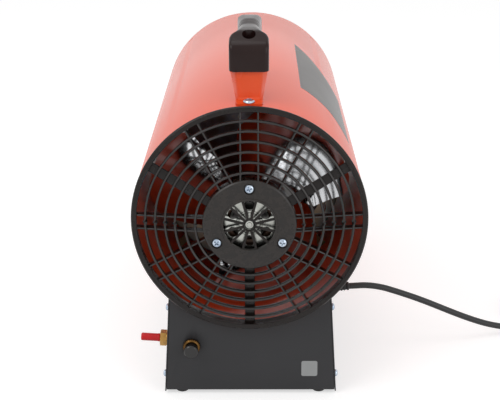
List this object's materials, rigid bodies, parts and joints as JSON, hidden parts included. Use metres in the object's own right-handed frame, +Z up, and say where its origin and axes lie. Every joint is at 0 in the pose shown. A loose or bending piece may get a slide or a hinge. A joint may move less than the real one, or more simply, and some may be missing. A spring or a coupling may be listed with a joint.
{
  "type": "gas space heater",
  "caption": "Gas space heater: a round steel drum with an intake fan and guard, an inner combustion tube and burner, a carrying grip, and a sheet steel base with the gas valve.",
  "frame": {"origin": "centre of the heater's bounding box on the floor, with the cord left out", "axes": "+Y along the drum from the intake guard to the hot end, +Z up, +X to the cord's side"},
  "size_m": [0.5133, 0.4826, 0.3581],
  "materials": {
    "orange_paint": "gloss powder coat",
    "dark_paint": "fine dark grey powder coat",
    "black_plastic": "moulded, satin",
    "gloss_black": "moulded, glossy",
    "red_plastic": "moulded",
    "ceramic": "glazed insulator",
    "bright_steel": "bare sheet",
    "zinc": "zinc plated",
    "aluminium": "bare sheet",
    "brass": "machined",
    "copper": "drawn copper",
    "black_rubber": "smooth"
  },
  "bodies": {
    "heater": {"drum_shell": "orange_paint", "fan_guard": "black_plastic", "motor_screw_top": "zinc", "motor_screw_left": "zinc", "motor_screw_right": "zinc", "motor_end_shield": "bright_steel", "motor_can": "bright_steel", "motor_stator": "bright_steel", "motor_windings": "copper", "bearing_rear": "brass", "bearing_front": "brass", "combustion_tube": "bright_steel", "burner_cup": "bright_steel", "burner_strap": "zinc", "gas_nozzle": "brass", "gas_pipe": "copper", "spark_electrode": "ceramic", "ignition_lead": "black_rubber", "thermocouple": "copper", "overheat_thermostat": "gloss_black", "handle_grip": "gloss_black", "handle_bracket_rear": "orange_paint", "handle_bracket_front": "orange_paint", "bracket_screw_rear": "zinc", "bracket_screw_front": "zinc", "grip_screw_rear": "zinc", "grip_screw_front": "zinc", "base_tray": "dark_paint", "base_side_left": "dark_paint", "base_side_right": "dark_paint", "side_screw_left_1": "zinc", "side_screw_left_2": "zinc", "side_screw_left_3": "zinc", "side_screw_left_4": "zinc", "side_screw_right_1": "zinc", "side_screw_right_2": "zinc", "side_screw_right_3": "zinc", "side_screw_right_4": "zinc", "rubber_foot_1": "black_rubber", "rubber_foot_2": "black_rubber", "rubber_foot_3": "black_rubber", "rubber_foot_4": "black_rubber", "gas_valve": "brass", "valve_collar": "brass", "gas_inlet": "brass", "igniter_body": "gloss_black", "switch_housing": "gloss_black", "strain_relief": "black_rubber", "power_cord": "black_rubber", "cord_coil": "black_rubber", "coil_tie": "black_plastic", "plug": "black_rubber"},
    "fan_assembly": {"motor_rotor": "aluminium", "motor_shaft": "zinc", "fan": "aluminium"},
    "button": {"valve_button": "gloss_black"},
    "igniter": {"igniter_button": "red_plastic"},
    "rocker": {"switch_rocker": "gloss_black"},
    "cap": {"inlet_cap": "red_plastic"}
  },
  "joints": [
    {"name": "fan_spin", "type": "hinge", "parent": "heater", "child": "fan_assembly", "pos_m": [0, -0.1707, 0.1855], "axis": [0, 1, 0], "continuous": true},
    {"name": "valve_button_press", "type": "slide", "parent": "heater", "child": "button", "axis": [0, 1, 0], "range_m": [0, 0.0045], "stiffness_N_per_m": 400, "springref_m": -0.002},
    {"name": "igniter_press", "type": "slide", "parent": "heater", "child": "igniter", "axis": [-0.9981, 0, -0.0613], "range_m": [0, 0.006], "stiffness_N_per_m": 500, "springref_m": -0.002},
    {"name": "power_switch_rock", "type": "hinge", "parent": "heater", "child": "rocker", "pos_m": [0.07987, -0.0387, 0.06424], "axis": [0, -1, 0], "range_deg": [0, 16]},
    {"name": "inlet_cap_pull", "type": "slide", "parent": "heater", "child": "cap", "axis": [-0.9981, 0, 0.0613], "range_m": [0, 0.018]}
  ]
}
